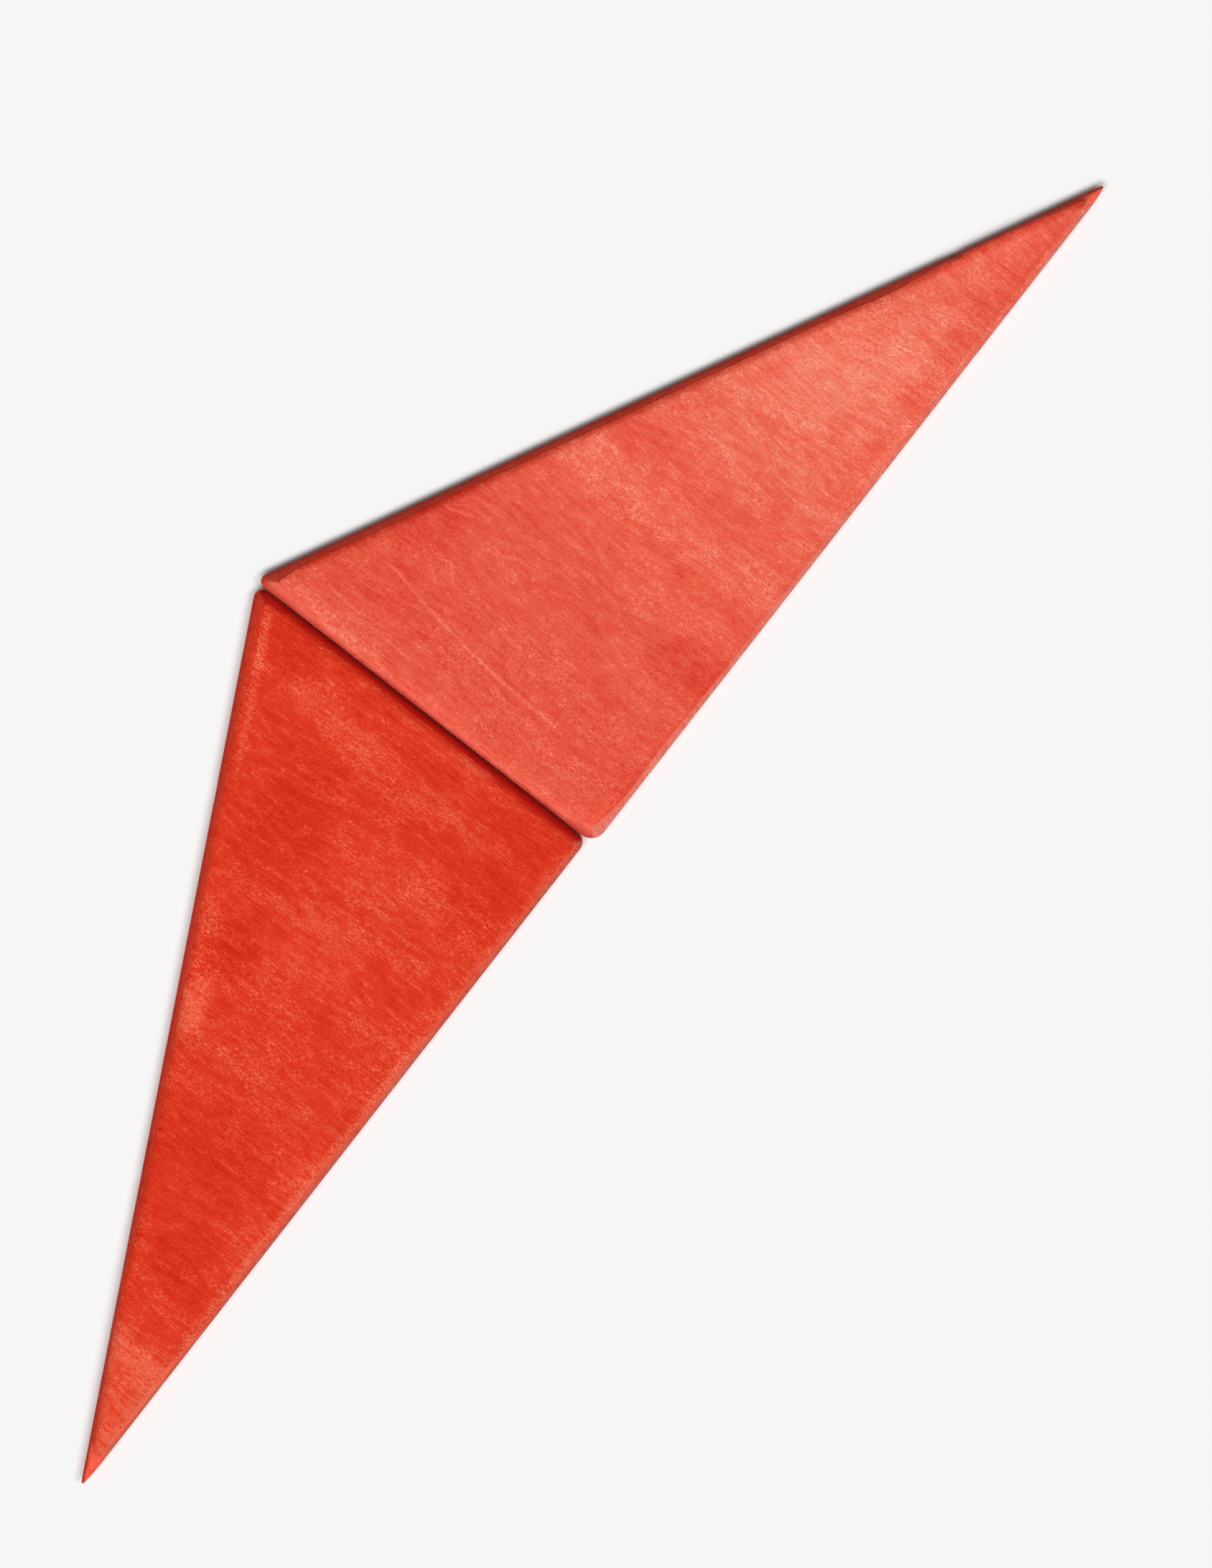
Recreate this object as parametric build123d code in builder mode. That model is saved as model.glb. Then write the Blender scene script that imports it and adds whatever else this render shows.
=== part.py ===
"""Two loose right-triangle tiles of thin stained plywood, laid short edge to short edge.

Each tile is a three-ply board: a face veneer, a core ply and a back veneer, held together by two thin
glue films.  The rims are sanded to a shallow bevel on both faces, which bares the layers one by one.

The frame: +X runs along the long edges towards the right tile's tip, +Y runs up the short edges, and
+Z is up.  The origin is in the middle of the pair's outline, on the surface that the tiles lie on.
"""

import os

from build123d import *

# ---- Driving dimensions, in millimetres -------------------------------------------------------------

# The legs of each right triangle, measured to the sharp corners that the outline is rounded from.
RIGHT_LONG_LEG = 149.9
RIGHT_SHORT_LEG = 76.8
LEFT_LONG_LEG = 147.2
LEFT_SHORT_LEG = 74.7

# The rounded corners: the heel is the right angle, the tip is the narrow corner at the outer end of
# the long leg, and the apex is the corner at the top of the short leg.
RIGHT_HEEL_RADIUS = 2.8
RIGHT_TIP_RADIUS = 0.5
RIGHT_APEX_RADIUS = 1.25
LEFT_HEEL_RADIUS = 2.0
LEFT_TIP_RADIUS = 0.45
LEFT_APEX_RADIUS = 1.55

# How the tiles lie beside each other.
BUTT_GAP = 0.2  # between the two short edges
BASE_STEP = 1.5  # how far the left tile's long edge is set back from the right tile's

# The layers of the board.
FACE_VENEER = 0.5
GLUE_FILM = 0.1
CORE_PLY = 2.0
BACK_VENEER = 0.5

# The sanded bevel around both faces.
BEVEL_WIDTH = 2.0  # in from the rim, along the face
BEVEL_DEPTH = 1.05  # from the face, down the rim

# ---- What follows from them -------------------------------------------------------------------------

# The layers, from the bottom up.
LAYERS = [
    ("back_veneer", BACK_VENEER),
    ("lower_glue_film", GLUE_FILM),
    ("core_ply", CORE_PLY),
    ("upper_glue_film", GLUE_FILM),
    ("face_veneer", FACE_VENEER),
]
THICKNESS = sum(height for _, height in LAYERS)

# Each tile's sharp heel, tip and apex with their radii, seen from the right tile's sharp heel.
LEFT_EDGE = -BUTT_GAP
TILES = {
    "right": [
        (Vector(0, 0), RIGHT_HEEL_RADIUS),
        (Vector(RIGHT_LONG_LEG, 0), RIGHT_TIP_RADIUS),
        (Vector(0, RIGHT_SHORT_LEG), RIGHT_APEX_RADIUS),
    ],
    "left": [
        (Vector(LEFT_EDGE, BASE_STEP), LEFT_HEEL_RADIUS),
        (Vector(LEFT_EDGE - LEFT_LONG_LEG, BASE_STEP), LEFT_TIP_RADIUS),
        (Vector(LEFT_EDGE, BASE_STEP + LEFT_SHORT_LEG), LEFT_APEX_RADIUS),
    ],
}

# ---- The shapes -------------------------------------------------------------------------------------


def sharp_outline(corners, plane):
    """One tile's triangle before its corners are rounded."""
    with BuildSketch(plane) as outline:
        with BuildLine():
            Polyline(*[point for point, _ in corners], close=True)
        make_face()
    return outline


def rounded_outline(corners, plane):
    """One tile's triangle with each corner rounded to its own radius."""
    with BuildSketch(plane) as outline:
        with BuildLine():
            Polyline(*[point for point, _ in corners], close=True)
        make_face()
        for point, radius in corners:
            fillet(outline.vertices().sort_by_distance(point)[0], radius)
    return outline


def sanded_board(corners, plane):
    """One tile as a single board: bevelled around both faces, then rounded at its corners."""
    with BuildPart() as board:
        add(sharp_outline(corners, plane).sketch)
        extrude(amount=THICKNESS)
        for side in (0, -1):
            face = board.faces().sort_by(Axis.Z)[side]
            chamfer(face.edges(), length=BEVEL_WIDTH, length2=BEVEL_DEPTH, reference=face)
        add(rounded_outline(corners, plane).sketch)
        extrude(amount=THICKNESS, mode=Mode.INTERSECT)
    return board.part


def middle_of_pair():
    """The centre of the box around both rounded outlines."""
    with BuildSketch() as pair:
        for corners in TILES.values():
            add(rounded_outline(corners, Plane.XY).sketch)
    return pair.sketch.bounding_box().center()


# ---- The layers of both tiles, each its own piece ---------------------------------------------------

middle = middle_of_pair()
ground = Plane((-middle.X, -middle.Y, 0))
os.makedirs("parts", exist_ok=True)

for tile, corners in TILES.items():
    board = sanded_board(corners, ground)
    bottom = 0.0
    for layer, height in LAYERS:
        with BuildPart() as ply:
            add(sharp_outline(corners, ground.offset(bottom)).sketch)
            extrude(amount=height)
            add(board, mode=Mode.INTERSECT)
        ply.part.label = f"{tile}_{layer}"
        export_step(ply.part, f"parts/{ply.part.label}.step")
        bottom += height
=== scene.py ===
"""The finish of two loose right-triangle plywood tiles, stained red and sanded round their rims.

Each layer of each tile is modelled again inside its CAD solid: the rim gets the soft, uneven bevel that
hand sanding leaves, cut through veneer, glue and core, and the wood gets its grain and stain, with painted
shade along the rims. Lengths are in millimetres.
"""

import math

import bpy
from mathutils import Matrix, Vector, noise


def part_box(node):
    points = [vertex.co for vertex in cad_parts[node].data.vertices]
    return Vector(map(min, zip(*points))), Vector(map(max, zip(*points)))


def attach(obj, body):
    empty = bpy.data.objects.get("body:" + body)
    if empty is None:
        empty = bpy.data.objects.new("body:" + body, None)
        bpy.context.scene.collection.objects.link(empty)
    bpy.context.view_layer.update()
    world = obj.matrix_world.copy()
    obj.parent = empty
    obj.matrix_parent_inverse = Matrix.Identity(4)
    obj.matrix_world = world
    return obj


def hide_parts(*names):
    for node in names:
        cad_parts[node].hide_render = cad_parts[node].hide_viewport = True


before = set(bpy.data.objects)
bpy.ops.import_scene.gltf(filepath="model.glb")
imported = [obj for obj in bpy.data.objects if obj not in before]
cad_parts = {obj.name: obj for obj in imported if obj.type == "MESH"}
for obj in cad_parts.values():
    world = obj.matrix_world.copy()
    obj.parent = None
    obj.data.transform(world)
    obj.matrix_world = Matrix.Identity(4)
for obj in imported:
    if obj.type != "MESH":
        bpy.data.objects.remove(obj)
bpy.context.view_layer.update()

MM = 0.001  # one millimetre in metres

# ---- The board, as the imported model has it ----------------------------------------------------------

LAYERS = ("back_veneer", "lower_glue_film", "core_ply", "upper_glue_film", "face_veneer")
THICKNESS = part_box("right_face_veneer")[1][2] / MM
TINY = 0.001  # a length too short to matter
CORNERS = ("heel", "tip", "apex")
NEXT = {"heel": "tip", "tip": "apex", "apex": "heel"}
BEFORE = {after: name for name, after in NEXT.items()}

# ---- How the rims were sanded -----------------------------------------------------------------------

BEVEL_POWER = 2.0  # over 1, so that the bevel flattens out gently towards the face
BEVEL_DEPTH = 1.35  # how far down the rim the sanding reaches

# How each tile was sanded.
#   width: how far the sanding reaches in from each side.
#   radius: of each corner of the outline, before the tip is cut back.
#   growth: how much larger that radius is where the bevel meets the face.
#   rub: how much further in the sanding reaches at a corner.
#   narrow: the stretch where a side's bevel is narrower, as (starts, full, until, ends, by how much).
#   chips: in the slanted side, as (from the short side, half its length, its depth).
SANDING = {
    "right": {
        "width": {"long": 2.7, "slant": 3.2, "short": 3.0},
        "radius": {"heel": 2.8, "tip": 0.25, "apex": 1.25},
        "growth": {"heel": -2.4, "tip": 0.3, "apex": -0.6},
        "rub": {"heel": 2.0, "tip": 0.0, "apex": 1.5},
        "narrow": {"slant": (112, 120, 138, 147, 2.2), "long": (95, 112, 132, 143, 1.2)},
        "chips": ((122.2, 1.0, 0.4),),
    },
    "left": {
        "width": {"long": 2.5, "slant": 3.0, "short": 3.1},
        "radius": {"heel": 2.0, "tip": 0.25, "apex": 1.55},
        "growth": {"heel": -1.4, "tip": 1.3, "apex": -1.0},
        "rub": {"heel": 0.3, "tip": 0.0, "apex": 1.2},
        "narrow": {"slant": (98, 112, 130, 141, 1.5), "long": (98, 112, 130, 141, 1.3)},
        "chips": ((34.0, 1.4, 0.16), (96.5, 0.9, 0.2)),
    },
}
RUB_REACH = 9.0  # how far from a corner its extra sanding reaches
FADE_REACH = 15.0  # how far in from the bevel its unevenness still shifts the rings
NOSE_REACH = 7.0  # over which the long side bends up to the slanted side at the tip
WOBBLE = 0.14  # how unevenly the rim was sanded, as a share of the bevel's width
WOBBLE_LENGTH = 14.0  # over about this far
WOBBLE_SHIFTS = {"upper": 40.0, "right": 90.0}  # of the noise, so that faces and tiles don't repeat

# How the meshes are divided.
POINT_SPACING = 0.6  # along the straight sides
ARC_POINTS = 12  # round each corner
LEAST_RADIUS = 0.25  # of any ring's corner
ROUNDER = 0.25  # how much the radius of a ring's corners grows per millimetre further in
# The depths of the rings up the rim, from either face.
RIM_DEPTHS = (0.004, 0.02, 0.05, 0.1, 0.17, 0.25, 0.34, 0.43, 0.7, 0.82, 0.95, 1.08, 1.2, 1.3, BEVEL_DEPTH)
THIN_LAYER = 0.2  # below this height a layer has no rings between its two faces
RING_SPACING = (1.0, 1.5, 2.5, 3.5, 4.5, 5.0, 5.0, 5.0)  # between the rings inside the bevel
INNERMOST = 1.5  # how far from the middle of a face its last ring stays, at the least
SHARP_ANGLE = math.radians(40)  # between faces that meet in a hard edge


def sharp_corners(tile):
    """The sharp heel, tip and apex of a tile's outline.

    They follow from the longest edge on the upright band of the core's rim, which is the slanted one."""
    node = f"{tile}_core_ply"
    low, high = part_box(node)
    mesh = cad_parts[node].data
    edges = [[mesh.vertices[v].co for v in edge.vertices] for edge in mesh.edges]
    bottom, top = low[2] + TINY * MM, high[2] - TINY * MM
    band = [(a, b) for a, b in edges if all(bottom < end.z < top for end in (a, b))]
    a, b = max(band, key=lambda ends: (ends[0] - ends[1]).length)
    slope = (b.y - a.y) / (b.x - a.x)
    heel_x = low[0] if slope < 0 else high[0]
    tip_x = a.x + (low[1] - a.y) / slope
    apex_y = a.y + (heel_x - a.x) * slope
    return Vector((heel_x, low[1])) / MM, Vector((tip_x, low[1])) / MM, Vector((heel_x, apex_y)) / MM


class Tile:
    """One tile, drawn as if its heel were at (0, 0), its tip at (long, 0) and its apex at (0, short)."""

    def __init__(self, name):
        self.name = name
        self.heel, self.tip, self.apex = sharp_corners(name)
        self.way = 1 if self.tip.x > self.heel.x else -1
        self.long = abs(self.tip.x - self.heel.x)
        self.short = self.apex.y - self.heel.y
        self.slant = math.hypot(self.long, self.short)
        self.sides = {"heel": self.long, "tip": self.slant, "apex": self.short}  # by the corner they leave
        self.width = SANDING[name]["width"]
        self.radius = SANDING[name]["radius"]
        self.growth = SANDING[name]["growth"]
        self.rub = SANDING[name]["rub"]
        self.narrow = SANDING[name]["narrow"]
        self.chips = SANDING[name]["chips"]
        tip_angle = math.atan2(self.short, self.long)
        self.half_angle = {"heel": math.pi / 4, "tip": tip_angle / 2, "apex": math.pi / 4 - tip_angle / 2}
        self.reach = self.long * self.short / (self.long + self.short + self.slant)  # radius of the incircle
        # Where the CAD model's rounded tip ends, and how far back along the slant that puts the sharp one.
        self.end = abs(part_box(f"{name}_core_ply")[self.way > 0][0] / MM - self.heel.x)
        blunt = self.radius["tip"] * (1 / math.tan(tip_angle / 2) - 1)
        end_share = (1 - blunt / NOSE_REACH) ** 2
        self.nose_cut = (self.long - blunt - self.end) / math.cos(tip_angle) / end_share

    def place(self, u, v, z):
        """A drawn point, in the row frame in metres."""
        return ((self.heel.x + self.way * u) * MM, (self.heel.y + v) * MM, z * MM)

    def ring(self, share, inside=0.0):
        """Points round the tile, anticlockwise, as [(point, inward normal)].

        share is how far up the bevel, from 0 at the outline to 1 where it meets the face, and inside is
        how far in from there."""
        corner = self.inset_corners(share, inside)
        most = 0.5 * (self.reach - inside - max(self.width.values()) * share)
        wanted = {c: self.radius[c] + share * self.growth[c] + ROUNDER * inside for c in CORNERS}
        radius = {c: max(LEAST_RADIUS, min(wanted[c], most)) for c in CORNERS}
        rub = {c: self.rub[c] * share * max(0.0, 1 - inside / FADE_REACH) for c in CORNERS}
        way_on = {c: (corner[NEXT[c]] - corner[c]).normalized() for c in CORNERS}
        moved = {}
        for c in CORNERS:
            bisector = (way_on[c] - way_on[BEFORE[c]]).normalized()
            moved[c] = corner[c] + bisector * rub[c] / math.sin(self.half_angle[c])
        found = []
        for c in CORNERS:
            found += self.round_corner(c, moved[c], -way_on[BEFORE[c]], way_on[c], radius[c])
            found += self.along_side(c, moved, way_on[c], radius, rub)
        return found

    def inset_corners(self, share, inside):
        """The corners of the triangle whose sides are moved in by a ring's share of the bevel's width."""
        long, slant, short = (share * self.width[side] + inside for side in ("long", "slant", "short"))
        diagonal = self.long * self.short - slant * self.slant
        return {
            "heel": Vector((short, long)),
            "tip": Vector(((diagonal - self.long * long) / self.short, long)),
            "apex": Vector((short, (diagonal - self.short * short) / self.long)),
        }

    def round_corner(self, name, here, back, on, radius):
        """The points of the arc at one corner.  back and on are the ways along its two sides."""
        half = self.half_angle[name]
        middle = here + (back + on).normalized() * radius / math.sin(half)
        start = here + back * radius / math.tan(half) - middle
        turn = math.pi - 2 * half
        found = []
        for step in range(ARC_POINTS + 1):
            angle = turn * step / ARC_POINTS
            spoke = Vector((start.x * math.cos(angle) - start.y * math.sin(angle),
                            start.x * math.sin(angle) + start.y * math.cos(angle)))
            found.append((middle + spoke, -spoke.normalized()))
        return found

    def along_side(self, name, moved, on, radius, rub):
        """The points along the side that leaves a corner, up to the next corner's arc."""
        after = NEXT[name]
        leave = moved[name] + on * radius[name] / math.tan(self.half_angle[name])
        arrive = moved[after] - on * radius[after] / math.tan(self.half_angle[after])
        length = self.sides[name]
        steps = round(length / POINT_SPACING)
        inward = Vector((-on.y, on.x))
        found = []
        for step in range(1, steps):
            t = step / steps
            ease = (rub[name] * (self.eased(t * length) - (1 - t))
                    + rub[after] * (self.eased((1 - t) * length) - t))
            found.append((leave.lerp(arrive, t) + inward * ease, inward))
        return found

    def eased(self, distance):
        """The share of a corner's extra sanding that is left at a distance from it."""
        return max(0.0, 1 - distance / RUB_REACH) ** 2

    def bevel_share(self, z):
        """How far up the bevel the rim is at height z: 0 on the outline, 1 where it meets a face."""
        depth = max(0.0, min(z, THICKNESS - z, BEVEL_DEPTH))
        return 1 - (depth / BEVEL_DEPTH) ** (1 / BEVEL_POWER)

    def sanded_ring(self, z, inside=0.0):
        """The ring at height z with the unevenness of hand sanding."""
        share = self.bevel_share(z)
        upper = z > THICKNESS / 2
        fade = max(0.0, 1 - inside / FADE_REACH)
        level = WOBBLE_SHIFTS["upper"] * upper + WOBBLE_SHIFTS["right"] * (self.way > 0)
        points = []
        for point, inward in self.ring(share, inside):
            here = Vector((point.x, point.y, level)) / WOBBLE_LENGTH
            shift = share * fade * (WOBBLE * self.width["long"] * noise.noise(here) * 2)
            slanted = inward.x < 0 and inward.y < 0
            shift -= share * fade * self.narrowed(point, inward)
            if slanted and upper and inside == 0:
                shift += (1 - share) * sum(self.chip(point, *chip) for chip in self.chips)
            points.append(self.nosed(point + inward * shift))
        return points

    def narrowed(self, point, inward):
        """How much less far in the sanding reaches along one stretch of the long and the slanted side."""
        start, full, until, end, amount = self.narrow["long" if inward.y > 0 else "slant"]
        rise, drop = (point.x - start) / (full - start), (end - point.x) / (end - until)
        return amount * max(0.0, min(1.0, rise, drop))

    def chip(self, point, where, half_length, depth):
        """How far a chip cuts in from the slanted side at a point."""
        return depth * max(0.0, 1 - ((point.x - where) / half_length) ** 2)

    def nosed(self, point):
        """A point moved back along the slanted side, so that the long side bends up to it at the tip."""
        share = max(0.0, 1 - (self.long - point.x) / NOSE_REACH)
        return point - Vector((self.long, -self.short)) / self.slant * self.nose_cut * share ** 2


def heights(bottom, top):
    """The heights at which a layer's rim has rings: closer together where the bevel flattens out."""
    found = {bottom, top}
    if top - bottom < THIN_LAYER:
        return sorted(found)
    for depth in RIM_DEPTHS:
        found |= {z for z in (depth, THICKNESS - depth) if bottom < z < top}
    return sorted(found)


def face_rings(tile, z):
    """The rings across one face of a layer, from its rim to near the tile's middle."""
    inside, found = 0.0, []
    for gap in RING_SPACING:
        inside += gap
        if inside > tile.reach - max(tile.width.values()) * tile.bevel_share(z) - INNERMOST:
            break
        found.append([(p, z) for p in tile.sanded_ring(z, inside)])
    return found


def layer_mesh(tile, layer):
    """One layer as a closed mesh: rings up its rim and, across both of its faces, rings to the middle."""
    low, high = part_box(f"{tile.name}_{layer}")
    bottom, top = low[2] / MM, high[2] / MM
    under = face_rings(tile, bottom)[::-1]
    rim = [[(p, z) for p in tile.sanded_ring(z)] for z in heights(bottom, top)]
    rows = under + rim + face_rings(tile, top)
    count = len(rows[0])
    places = [tile.place(p.x, p.y, z) for row in rows for p, z in row]
    faces = []
    for r in range(len(rows) - 1):
        for i in range(count):
            j = (i + 1) % count
            faces.append((r * count + i, r * count + j, (r + 1) * count + j, (r + 1) * count + i))
    for row in (0, len(rows) - 1):
        middle = len(places)
        ring = rows[row]
        centre = sum((p for p, _ in ring), Vector((0, 0))) / count
        places.append(tile.place(centre.x, centre.y, ring[0][1]))
        for i in range(count):
            j = (i + 1) % count
            faces.append((row * count + j, row * count + i, middle) if row == 0
                         else (row * count + i, row * count + j, middle))
    if tile.way < 0:
        faces = [face[::-1] for face in faces]
    mesh = bpy.data.meshes.new(f"{tile.name}_{layer}_sanded")
    mesh.from_pydata(places, [], faces)
    mesh.validate()
    mesh.polygons.foreach_set("use_smooth", [True] * len(mesh.polygons))
    mesh.set_sharp_from_angle(angle=SHARP_ANGLE)

    # Where a layer meets the next one, the rim's edge is sharp however flat the bevel is.
    ends = ((len(under), bottom), (len(under) + len(rim) - 1, top))
    glued = [{row} for row, z in ends if TINY < z < THICKNESS - TINY]
    for edge in mesh.edges:
        if {v // count for v in edge.vertices} in glued:
            edge.use_edge_sharp = True
    return mesh


# ---- Materials --------------------------------------------------------------------------------------


def srgb(red, green, blue):
    """An on-screen colour, 0 to 255, as the linear colour that a shader takes."""
    def linear(value):
        value /= 255
        return value / 12.92 if value <= 0.04045 else ((value + 0.055) / 1.055) ** 2.4
    return linear(red), linear(green), linear(blue), 1.0


class Shader:
    """A material whose nodes are made by short calls.  Any input may be a number or another socket."""

    def __init__(self, name):
        self.material = bpy.data.materials.new(name)
        self.material.use_nodes = True
        self.tree = self.material.node_tree
        self.surface = self.tree.nodes["Principled BSDF"]

    def node(self, kind, inputs, **settings):
        made = self.tree.nodes.new(kind)
        for name, value in settings.items():
            setattr(made, name, value)
        for key, value in inputs.items():
            self.give(made.inputs[key], value)
        return made.outputs[0]

    def give(self, socket, value):
        if isinstance(value, bpy.types.NodeSocket):
            self.tree.links.new(value, socket)
        else:
            socket.default_value = value

    def maths(self, operation, *values):
        return self.node("ShaderNodeMath", dict(enumerate(values)), operation=operation)

    def total(self, *values):
        found = values[0]
        for value in values[1:]:
            found = self.maths("ADD", found, value)
        return found

    def product(self, *values):
        found = values[0]
        for value in values[1:]:
            found = self.maths("MULTIPLY", found, value)
        return found

    def vector(self, x, y, z):
        return self.node("ShaderNodeCombineXYZ", {"X": x, "Y": y, "Z": z})

    def noise(self, place, size, detail=2.0, roughness=0.5):
        """Noise around 0, within about 0.3 either way, whose blots have the given sizes along X, Y and Z."""
        scale = tuple(1 / s for s in size)
        fine = self.node("ShaderNodeVectorMath", {0: place, 1: scale}, operation="MULTIPLY")
        found = self.node("ShaderNodeTexNoise",
                          {"Vector": fine, "Scale": 1.0, "Detail": detail, "Roughness": roughness})
        return self.maths("SUBTRACT", found, 0.5)

    def between(self, value, low, high, to_low=0.0, to_high=1.0):
        """Runs smoothly from to_low, where value is low, to to_high, where it is high."""
        ends = {"From Min": low, "From Max": high, "To Min": to_low, "To Max": to_high}
        return self.node("ShaderNodeMapRange", {"Value": value, **ends}, interpolation_type="SMOOTHSTEP")

    def band(self, value, start, full, end, gone):
        """1 between full and end, 0 before start and after gone."""
        return self.product(self.between(value, start, full), self.between(value, end, gone, 1.0, 0.0))

    def mix(self, share, low, high):
        made = self.tree.nodes.new("ShaderNodeMix")
        made.data_type = "RGBA"
        for key, value in ((0, share), (6, low), (7, high)):
            self.give(made.inputs[key], value)
        return made.outputs[2]

    def ramp(self, value, stops):
        """A colour or grey that follows value through stops, as [(position, colour)]."""
        made = self.tree.nodes.new("ShaderNodeValToRGB")
        points = made.color_ramp.elements
        while len(points) < len(stops):
            points.new(0.5)
        for point, (position, colour) in zip(points, stops):
            point.position = position
            point.color = colour if isinstance(colour, tuple) else (colour, colour, colour, 1.0)
        self.give(made.inputs[0], value)
        return made.outputs[0]

    def bump(self, height, distance_mm):
        return self.node("ShaderNodeBump", {"Height": height, "Strength": 1.0, "Distance": distance_mm * MM})

    def finish(self, colour, roughness, normal):
        """The material of stained wood or glue, with everything connected."""
        self.give(self.surface.inputs["Base Color"], colour)
        self.give(self.surface.inputs["Roughness"], roughness)
        self.give(self.surface.inputs["Normal"], normal)
        self.surface.inputs["Specular IOR Level"].default_value = WOOD_SHEEN
        return self.material


def wood_places(shader, tile):
    """The piece's own coordinates in millimetres, and the distances from a tile's three sides."""
    coordinates = shader.tree.nodes.new("ShaderNodeTexCoord").outputs["Object"]
    place = shader.node("ShaderNodeVectorMath", {0: coordinates, "Scale": 1 / MM}, operation="SCALE")
    split = shader.tree.nodes.new("ShaderNodeSeparateXYZ")
    shader.give(split.inputs[0], place)
    x, y, z = split.outputs
    u = shader.product(shader.maths("SUBTRACT", x, tile.heel.x), float(tile.way))
    v = shader.maths("SUBTRACT", y, tile.heel.y)
    fall = shader.total(shader.product(u, tile.short), shader.product(v, tile.long))
    to_slant = shader.maths("DIVIDE", shader.maths("SUBTRACT", tile.short * tile.long, fall), tile.slant)
    return (x, y, z), {"short": u, "long": v, "slant": to_slant}
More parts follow.
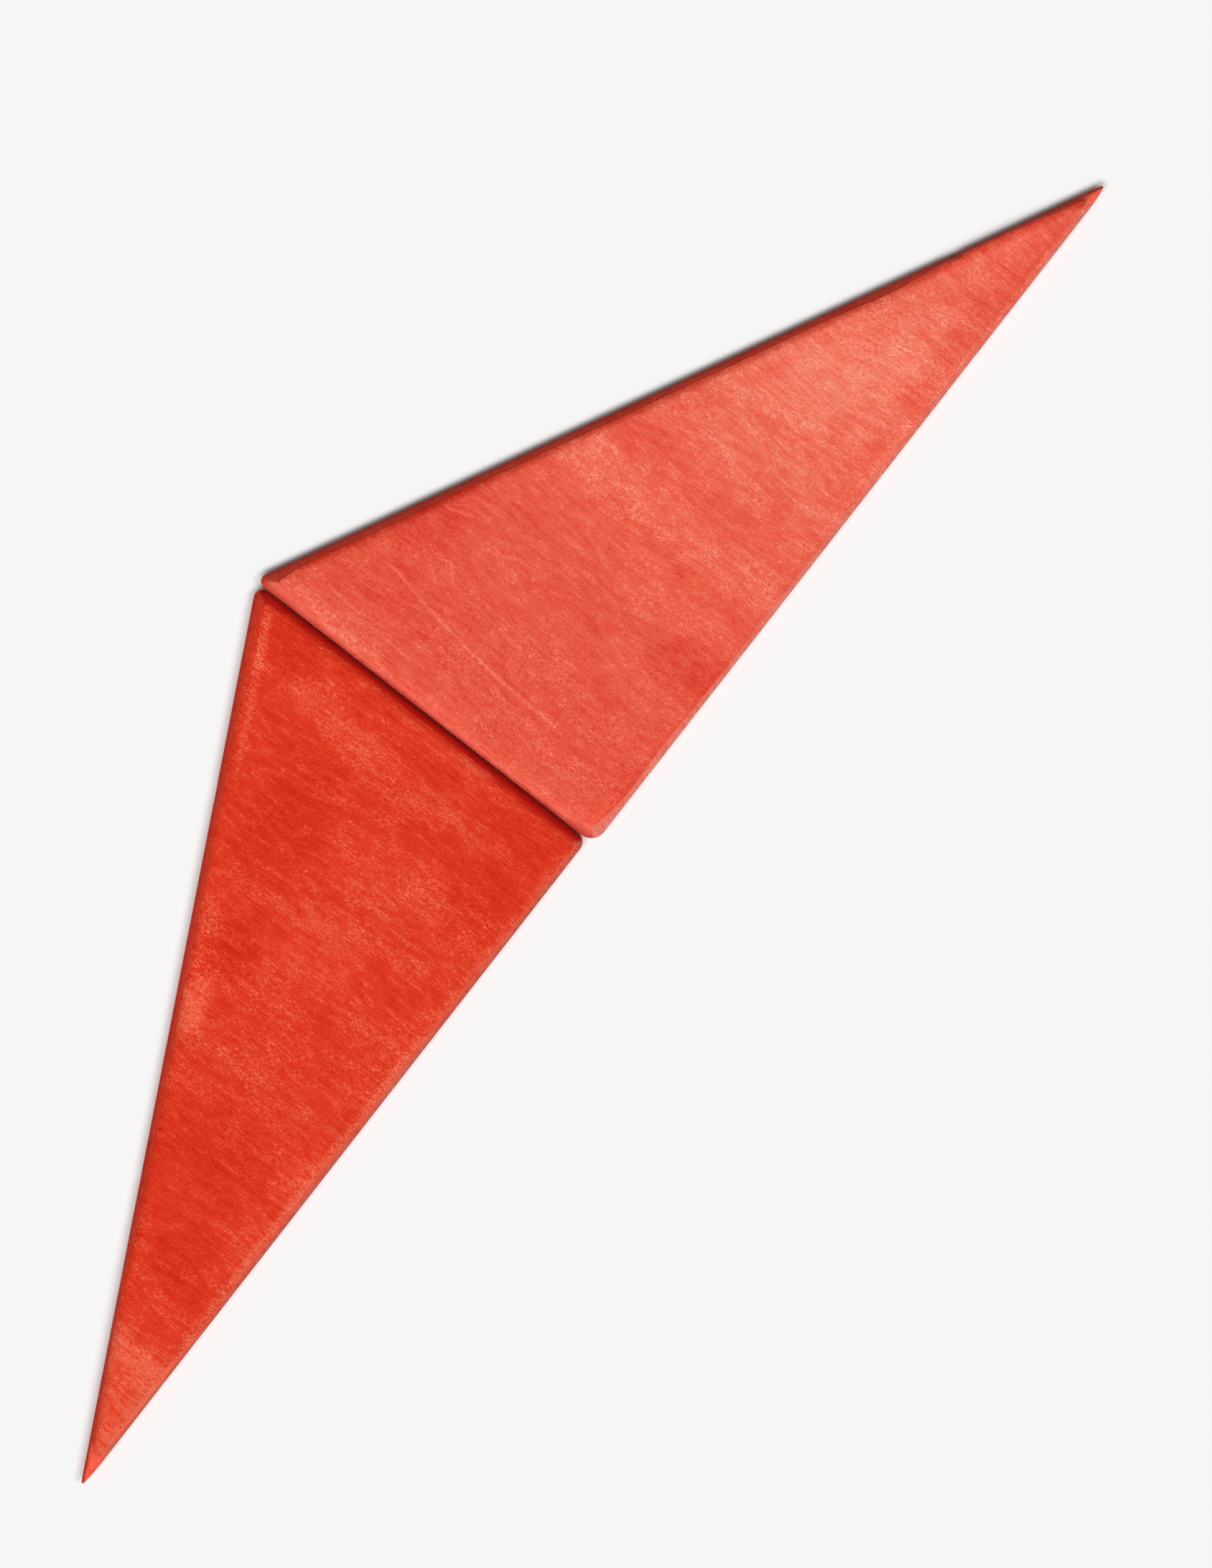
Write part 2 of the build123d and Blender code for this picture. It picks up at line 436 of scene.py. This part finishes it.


# The stain of each tile, in a drawing of it with its heel at (0, 0), its tip at (long, 0) and its apex at
# (0, short).  Tones run from 0, deep, to 1, pale.
#   contrast: how strongly the grain shows.
#   colours: at tones 0, 0.5 and 1.
#   tone: along the tile, as (share of its length, tone).
#   patches: soft ovals, as (x, y, half width, half height, change in tone).
#   worn: pale flecks along a side, as (side, from x, to x, middle of them in from the side, half their
#         width, change in tone).
#   rim: where each side's bevel cuts the face veneer, as side: (change in tone, partly stain and partly
#        painted shade; share of light taken off as painted shade; from where to where it fades, in from the
#        side).
#   core: the core ply's colour at each side and at the tip, at its middle and where the glue starts,
#         and how bright the glue is beside it. These colours are partly stain and partly painted shade;
#         the left tile's short side, beside the right tile, is painted with deep shade and a painted red
#         reflection from the right tile.
#   tip_reach: how far from the tip's end the core has its colour at the tip.
#   lines: growth rings and cracks along the grain, as (x, y at the foot, x, y at the head, bulge to the
#          right, half width, change in tone).
STAIN = {
    "right": {
        "contrast": 1.0,
        "colours": (srgb(214, 42, 22), srgb(238, 98, 74), srgb(255, 158, 134)),
        "tone": ((0.0, 0.44), (0.03, 0.37), (0.08, 0.29), (0.13, 0.34), (0.19, 0.40), (0.24, 0.40),
                 (0.29, 0.46), (0.32, 0.44), (0.36, 0.54), (0.41, 0.46), (0.47, 0.60), (0.53, 0.58),
                 (0.6, 0.64), (0.7, 0.59), (0.78, 0.52), (0.86, 0.55), (1.0, 0.5)),
        "patches": ((29, 59, 9, 7, -0.14), (35, 6, 5, 7, -0.14), (4, 25, 3, 5, -0.08), (2, 60, 3, 7, 0.08),
                    (80, 4, 8, 3, -0.08), (115, 3, 25, 3, -0.10), (89, 18, 9, 6, 0.07),
                    (104, 10, 9, 4, 0.07), (74, 35, 5, 5, -0.12), (62, 36, 3, 6, -0.08),
                    (94, 13, 3, 4, 0.06)),
        "worn": (("long", 66, 110, 1.5, 0.5, 0.15), ("long", 100, 140, 0.7, 0.5, 0.25)),
        "rim": {"slant": (-0.3, 0.08, 1.1, 2.7), "long": (-0.08, 0.08, 1.2, 2.6),
                "short": (0.0, 0.02, 1.2, 2.4)},
        "core": {"slant": (srgb(164, 52, 38), srgb(182, 56, 38), 0.72),
                 "long": (srgb(212, 114, 98), srgb(221, 104, 87), 0.95),
                 "short": (srgb(190, 58, 44), srgb(228, 96, 78), 0.97),
                 "tip": (srgb(226, 92, 70), srgb(240, 100, 74), 0.9)},
        "tip_reach": 3.5,
        "lines": ((12.3, 15, 17.8, 62, -1.5, 0.22, 0.2), (32.8, 53, 30.8, 58, 0.2, 0.2, 0.2),
                  (5.8, 45, 7.3, 66, -0.2, 0.2, 0.14), (126, 2.4, 125.9, 7.7, 0.1, 0.05, -0.4)),
    },
    "left": {
        "contrast": 1.17,
        "colours": (srgb(199, 12, 0), srgb(226, 56, 24), srgb(245, 114, 86)),
        "tone": ((0.0, 0.42), (0.03, 0.42), (0.07, 0.49), (0.13, 0.42), (0.19, 0.46), (0.25, 0.47),
                 (0.33, 0.48), (0.38, 0.42), (0.44, 0.46), (0.54, 0.43), (0.6, 0.38), (0.68, 0.48),
                 (0.71, 0.38), (0.79, 0.46), (0.85, 0.68), (1.0, 0.62)),
        "patches": ((6, 62, 4, 5, -0.16), (2, 30, 3, 8, 0.18), (11, 46, 2.5, 12, 0.08),
                    (32, 44, 11, 6, -0.14), (54, 38, 5, 5, -0.18), (28, 24, 6, 10, 0.08),
                    (44, 25, 6, 7, 0.12), (68, 38, 7, 3, 0.2), (20, 9, 6, 5, -0.1), (7, 8, 4, 5, -0.08),
                    (82, 18, 7, 6, -0.06), (104, 11, 5, 5, -0.08), (88, 3, 14, 3.5, 0.14),
                    (67, 8, 5, 4, 0.06)),
        "worn": (("long", 48, 112, 1.5, 0.55, 0.35), ("long", 112, 138, 0.7, 0.4, 0.35),
                 ("long", 5, 60, 1.5, 0.4, 0.12), ("slant", 3, 16, 3.2, 0.6, 0.4),
                 ("slant", 20, 28, 3.3, 0.5, 0.3), ("slant", 50, 78, 4.2, 1.6, 0.15)),
        "rim": {"slant": (0.02, 0.13, 1.0, 2.3), "long": (0.09, 0.1, 1.4, 3.2),
                "short": (-0.1, 0.1, 1.2, 2.4)},
        "core": {"slant": (srgb(178, 46, 30), srgb(200, 56, 34), 0.9),
                 "long": (srgb(188, 82, 66), srgb(208, 84, 62), 0.97),
                 "short": (srgb(140, 6, 2), srgb(186, 22, 6), 1.0),
                 "tip": (srgb(222, 84, 62), srgb(238, 86, 60), 0.95)},
        "tip_reach": 6.5,
        "lines": (),
    },
}
PATCH_END = 2.2  # where a patch has faded out, as the square of its half widths
WORN_ENDS = (4, 6)  # half the length over which worn flecks come and go

# The patterns of the grain: the size of their blots along X, Y and Z, their detail and their roughness.
GRAIN = {
    "figure": ((6, 24, 9), 3.0, 0.55),
    "mottle": ((1.2, 3.2, 1.2), 3.0, 0.6),
    "streaks": ((0.35, 6.0, 0.35), 2.0, 0.5),
    "grit": ((0.12, 0.22, 0.12), 1.0, 0.5),
    "fibres": ((0.2, 0.8, 0.2), 2.0, 0.6),
}
GRAIN_SHARES = {"figure": 0.38, "mottle": 0.62, "streaks": 0.45, "grit": 0.6}  # in the stain's tone
FIBRE_SHARE = 0.85  # the same for the fibres, which gather where the wood is paler
WANDER = 7.0  # how far the grain strays sideways
WANDER_SIZE = (28, 50, 60)
BLUR = 0.09  # how unevenly the slow changes along a tile run, as a share of its length
BLUR_SIZE = (9, 18, 9)
UNDERSIDE_SHIFT = 50.0  # of the noise, so that the underside isn't a copy of the face
WOOD_SHEEN = 0.12  # the specular level of the stained layers
ROUGHNESS = {"veneer": (0.5, 0.7), "core": (0.5, 0.65), "glue": (0.4, 0.6)}
RELIEF = {"veneer": 0.12, "core": 0.08, "glue": 0.02}  # the height of the bumps
# The core's colour at its middle, on the steep outline, is partly painted shade and partly stain.
CORE_SHADING = (0.35, 1.0)  # from the core's middle, where its colour turns into the one at the glue
MELT = 0.5  # half the width over which one side's core colour turns into the next one's
# The dark outline is the slanted side's core colour, with its painted shade.
DARK_OUTLINE = (0.3, 0.6)  # where the core's dark outline fades into its colour at the tip
CORE_CONTRAST = (0.4, 2.0, 2.2)  # how strongly the grain shows in the core's red, green and blue
LEAST_LIGHT = 0.2  # what the grain leaves of the core's brightness, at the least
CLOUD_SIZE = (3.5, 3.5, 3.5)  # of the paler and darker places in the glue


def patch(shader, sides, x, y, half_width, half_height, change):
    """A soft-edged oval in which the stain's tone changes."""
    across = shader.maths("DIVIDE", shader.maths("SUBTRACT", sides["short"], x), half_width)
    up = shader.maths("DIVIDE", shader.maths("SUBTRACT", sides["long"], y), half_height)
    away = shader.total(shader.product(across, across), shader.product(up, up))
    return shader.between(away, 0.0, PATCH_END, change, 0.0)


def worn_flecks(shader, sides, flecks, side, start, end, middle, half_width, change):
    """Pale flecks where the veneer's edge is rubbed."""
    come, go = WORN_ENDS
    along = shader.band(sides["short"], start - come, start + come, end - go, end + go)
    outer, inner = middle - 2 * half_width, middle + 2.5 * half_width
    across = shader.band(sides[side], outer, middle - half_width, middle, inner)
    return shader.product(along, across, shader.between(flecks, -0.08, 0.12, 0.15 * change, 1.3 * change))


def grain_line(shader, sides, foot_x, foot_y, head_x, head_y, bulge, half_width, change):
    """One thin line along the grain: a growth ring, or a crack where the tone falls."""
    ends = {"From Min": foot_y, "From Max": head_y}
    share = shader.node("ShaderNodeMapRange", {"Value": sides["long"], **ends})
    bow = shader.product(share, shader.maths("SUBTRACT", 1.0, share), 4.0 * bulge)
    x = shader.total(shader.product(share, head_x - foot_x), bow, foot_x)
    off = shader.maths("ABSOLUTE", shader.maths("SUBTRACT", sides["short"], x))
    return shader.product(shader.between(off, 0.5 * half_width, 2 * half_width, 1.0, 0.0),
                          shader.band(share, 0.0, 0.1, 0.85, 1.0), change)


def wood_grain(shader, x, y, z):
    """The grain's effect on the tone of the stain, around 0, then its relief and its finest fibres."""
    wander = shader.product(shader.noise(shader.vector(x, y, z), WANDER_SIZE, 1.0), WANDER)
    place = shader.vector(shader.maths("ADD", x, wander), y, z)
    made = {name: shader.noise(place, *pattern) for name, pattern in GRAIN.items()}
    gathered = shader.between(shader.total(made["mottle"], made["figure"]), -0.12, 0.25, 0.7, 1.9)
    parts = [shader.product(made[name], amount) for name, amount in GRAIN_SHARES.items()]
    tone = shader.total(*parts, shader.product(made["fibres"], gathered, FIBRE_SHARE))
    relief = shader.total(made["fibres"], made["grit"], shader.product(made["streaks"], 0.4))
    return tone, relief, made["fibres"]


def veneer_material(tile, upper):
    """Sanded close-grained veneer with its grain along +Y, unevenly soaked with red stain, with painted
    shade along the edges of its bevels.
    """
    stain = STAIN[tile.name]
    shader = Shader(f"{tile.name}_{'upper' if upper else 'lower'}_veneer")
    (x, y, z), sides = wood_places(shader, tile)
    if not upper:
        z = shader.maths("ADD", z, UNDERSIDE_SHIFT)
    grain, relief, fibres = wood_grain(shader, x, y, z)

    # The tone of the stain: slow changes along the tile, patches, figure and fibres.
    blur = shader.product(shader.noise(shader.vector(x, y, z), BLUR_SIZE), BLUR)
    along = shader.total(shader.maths("DIVIDE", sides["short"], tile.long), blur)
    parts = [shader.ramp(along, stain["tone"])]
    parts += [patch(shader, sides, *values) for values in stain["patches"]]
    parts += [grain_line(shader, sides, *values) for values in stain["lines"]]
    parts += [worn_flecks(shader, sides, fibres, *values) for values in stain["worn"]]
    parts.append(shader.product(grain, stain["contrast"]))

    # The bevel's edge, side by side: the tone is paler or deeper, partly stain and partly painted shade,
    # and shade is painted shade that darkens the colour as if less light arrived.
    shade = 1.0
    for side, (change, painted_shade_loss, start, end) in stain["rim"].items():
        near = shader.between(sides[side], start, end, 1.0, 0.0)
        parts.append(shader.product(near, change))
        shade = shader.product(shade, shader.maths("SUBTRACT", 1.0, shader.product(near, painted_shade_loss)))
    colour = shader.ramp(shader.total(*parts), tuple(zip((0.0, 0.5, 1.0), stain["colours"])))
    colour = shader.node("ShaderNodeVectorMath", {0: colour, "Scale": shade}, operation="SCALE")
    roughness = shader.between(fibres, -0.2, 0.2, *ROUGHNESS["veneer"])
    return shader.finish(colour, roughness, shader.bump(relief, RELIEF["veneer"]))


def core_material(tile):
    """The core ply.  Its colour differs from side to side: partly stain that its cut edges took up, partly
    painted shade for how light falls on each side's bevel.
    """
    core = STAIN[tile.name]["core"]
    shader = Shader(f"{tile.name}_core")
    (x, y, z), sides = wood_places(shader, tile)
    grain, relief, fibres = wood_grain(shader, x, y, z)
    from_middle = shader.maths("ABSOLUTE", shader.maths("SUBTRACT", z, THICKNESS / 2))
    height = shader.between(from_middle, *CORE_SHADING)
    # Each side's core colours hold painted shade as well as stain; the left tile's short side gets deep
    # painted shade and a painted red reflection.
    colour = by_side(shader, tile, sides, {place: shader.mix(height, *core[place][:2]) for place in core})
    lights = [shader.total(shader.product(grain, contrast), 1.0) for contrast in CORE_CONTRAST]
    light = shader.vector(*(shader.maths("MAXIMUM", part, LEAST_LIGHT) for part in lights))
    colour = shader.node("ShaderNodeVectorMath", {0: colour, 1: light}, operation="MULTIPLY")
    roughness = shader.between(fibres, -0.2, 0.2, *ROUGHNESS["core"])
    return shader.finish(colour, roughness, shader.bump(relief, RELIEF["core"]))


def by_side(shader, tile, sides, colours):
    """The colour of whichever side is nearest, with its own colour at the tip."""
    nearer = shader.maths("SUBTRACT", sides["long"], sides["slant"])
    colour = shader.mix(shader.between(nearer, -MELT, MELT), colours["long"], colours["slant"])
    nearest = shader.maths("MINIMUM", sides["long"], sides["slant"])
    nearer = shader.maths("SUBTRACT", nearest, sides["short"])
    colour = shader.mix(shader.between(nearer, -MELT, MELT), colour, colours["short"])
    start = tile.end - STAIN[tile.name]["tip_reach"]
    at_tip = shader.product(shader.between(sides["short"], start - 1, start + 1),
                            shader.between(sides["slant"], *DARK_OUTLINE))
    return shader.mix(at_tip, colour, colours["tip"])


def glue_material(tile):
    """A cured glue film, as dark as the core beside it, painted shade included, or darker with the stain
    that gathered in it.
    """
    core = STAIN[tile.name]["core"]
    shader = Shader(f"{tile.name}_glue")
    (x, y, z), sides = wood_places(shader, tile)
    cloud = shader.noise(shader.vector(x, y, z), CLOUD_SIZE, 3.0)
    colours = {place: (*(shade * part for part in edge[:3]), 1.0)
               for place, (_, edge, shade) in core.items()}
    colour = by_side(shader, tile, sides, colours)
    light = shader.total(shader.product(cloud, 0.9), 1.0)
    colour = shader.node("ShaderNodeVectorMath", {0: colour, "Scale": light}, operation="SCALE")
    roughness = shader.between(cloud, -0.2, 0.2, *ROUGHNESS["glue"])
    return shader.finish(colour, roughness, shader.bump(cloud, RELIEF["glue"]))


# ---- The pieces -------------------------------------------------------------------------------------

for name in ("right", "left"):
    tile = Tile(name)
    glue = glue_material(tile)
    finish = {
        "back_veneer": (veneer_material(tile, upper=False), "stained_veneer"),
        "lower_glue_film": (glue, "glue"),
        "core_ply": (core_material(tile), "stained_core"),
        "upper_glue_film": (glue, "glue"),
        "face_veneer": (veneer_material(tile, upper=True), "stained_veneer"),
    }
    for layer in LAYERS:
        material, slot = finish[layer]
        piece = bpy.data.objects.new(f"{name}_{layer}_sanded", layer_mesh(tile, layer))
        piece.data.materials.append(material)
        bpy.context.scene.collection.objects.link(piece)
        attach(piece, f"{name}_tile")
        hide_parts(f"{name}_{layer}")

# ---- The floor, the light and the camera ------------------------------------------------------------

FLOOR_COLOUR = (0.865, 0.862, 0.86, 1.0)
FLOOR_ROUGHNESS = 0.9
FLOOR_SHEEN = 0.1
FLOOR_SIZE_M = 4.0

# The camera looks straight down.  Its right and up run slantwise over the tiles.
VIEW_RIGHT = Vector((0.6147, -0.7888, 0))
VIEW_UP = Vector((0.7888, 0.6147, 0))
VIEW_HEIGHT = 279.4  # of the ground that the picture shows
VIEW_CENTRE = Vector((9.80, 4.99, 0))  # from the right tile's heel
LENS = 135.0
SENSOR = 24.0  # the height of the camera's sensor
CLIP_END_M = 100.0

# A long soft light, made of four suns, stands beyond the picture's lower edge.
KEY = 0.97  # how brightly it lights a white floor
FILL = 0.10  # how brightly the rest of the room does
KEY_HEIGHT = math.radians(55)  # above the floor
KEY_TURNS = [math.radians(turn) for turn in (-45, -17, 12, 76)]  # from straight below the picture
KEY_SOFTNESS = math.radians(24)  # how wide each sun is


def floor():
    bpy.ops.mesh.primitive_plane_add(size=FLOOR_SIZE_M, location=(0, 0, 0))
    ground = bpy.context.object
    ground.name = "floor"
    shader = Shader("pale_floor")
    shader.surface.inputs["Base Color"].default_value = FLOOR_COLOUR
    shader.surface.inputs["Roughness"].default_value = FLOOR_ROUGHNESS
    shader.surface.inputs["Specular IOR Level"].default_value = FLOOR_SHEEN
    ground.data.materials.append(shader.material)


def light():
    world = bpy.data.worlds.new("studio")
    world.use_nodes = True
    world.node_tree.nodes["Background"].inputs["Color"].default_value = (1.0, 1.0, 1.0, 1.0)
    world.node_tree.nodes["Background"].inputs["Strength"].default_value = FILL
    bpy.context.scene.world = world
    for i, turn in enumerate(KEY_TURNS):
        sun = bpy.data.lights.new(f"key_{i}", "SUN")
        sun.energy = KEY * math.pi / math.sin(KEY_HEIGHT) / len(KEY_TURNS)
        sun.angle = KEY_SOFTNESS
        key = bpy.data.objects.new(sun.name, sun)
        level = Matrix.Rotation(turn, 3, "Z") @ -VIEW_UP
        towards = level * math.cos(KEY_HEIGHT) + Vector((0, 0, math.sin(KEY_HEIGHT)))
        key.rotation_euler = towards.to_track_quat("Z", "Y").to_euler()
        bpy.context.scene.collection.objects.link(key)


def camera():
    data = bpy.data.cameras.new("camera")
    data.sensor_fit = "VERTICAL"
    data.sensor_height = SENSOR
    data.lens = LENS
    data.clip_end = CLIP_END_M
    eye = bpy.data.objects.new("camera", data)
    target = Tile("right").heel.to_3d() + VIEW_CENTRE + Vector((0, 0, THICKNESS))
    distance = VIEW_HEIGHT * LENS / SENSOR
    eye.location = (target + Vector((0, 0, distance))) * MM
    back = Vector((0, 0, 1))
    eye.rotation_euler = Matrix((VIEW_RIGHT, VIEW_UP, back)).transposed().to_euler()
    bpy.context.scene.collection.objects.link(eye)
    bpy.context.scene.camera = eye


floor()
light()
camera()
bpy.context.scene.view_settings.view_transform = "Standard"
